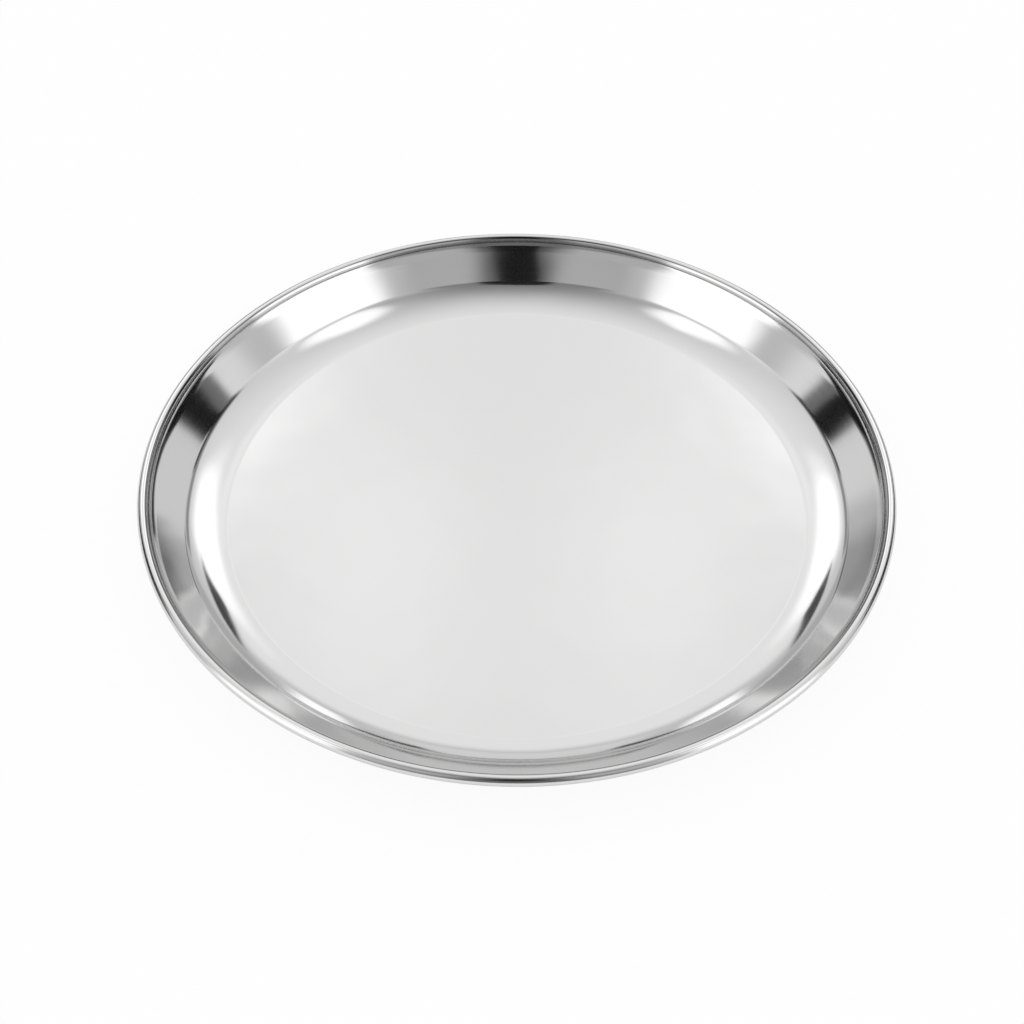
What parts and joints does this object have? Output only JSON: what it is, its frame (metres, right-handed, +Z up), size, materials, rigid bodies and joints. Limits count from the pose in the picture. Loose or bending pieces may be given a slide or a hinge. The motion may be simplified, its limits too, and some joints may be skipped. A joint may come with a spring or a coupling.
{
  "type": "thali plate",
  "caption": "Round polished steel thali plate with a flat base, curved corner, straight flared wall and a rolled rim stiffened by a hidden wire ring.",
  "frame": {"origin": "middle of the underside of the flat base, on the table", "axes": "+Z up along the plate's axis of symmetry, -Y towards the person eating, +X to their right"},
  "size_m": [0.305, 0.305, 0.0208],
  "materials": {
    "polished_steel": "stainless steel sheet, mirror polished with faint circular polish marks",
    "wire_steel": "drawn steel wire, plain"
  },
  "bodies": {
    "root": {"pressed_plate": "polished_steel", "rim_wire": "wire_steel"}
  },
  "joints": []
}
